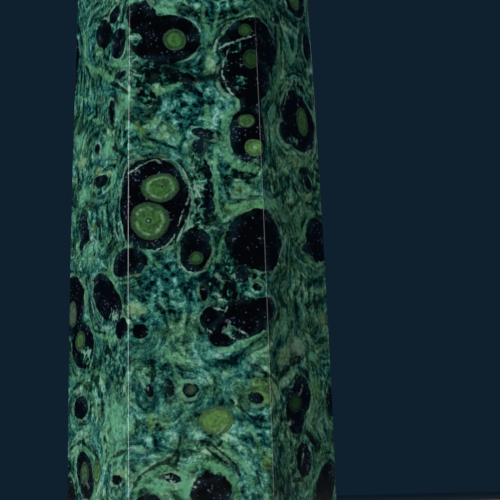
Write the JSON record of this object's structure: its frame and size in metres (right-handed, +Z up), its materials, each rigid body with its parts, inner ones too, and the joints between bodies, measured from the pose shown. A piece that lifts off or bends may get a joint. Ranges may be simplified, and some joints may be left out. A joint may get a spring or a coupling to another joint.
{
  "type": "jasper obelisk",
  "caption": "Polished six-sided stone obelisk with slightly domed tapering sides, a faceted point and a flat base to stand on.",
  "frame": {"origin": "centre of the flat base, on the surface it stands on", "axes": "+Z up along the obelisk's axis to its point; the front face looks along -Y and two edges lie along +X and -X"},
  "size_m": [0.0558, 0.0484, 0.1797],
  "materials": {
    "jasper": "polished orbicular green jasper"
  },
  "bodies": {
    "root": {"obelisk": "jasper"}
  },
  "joints": []
}
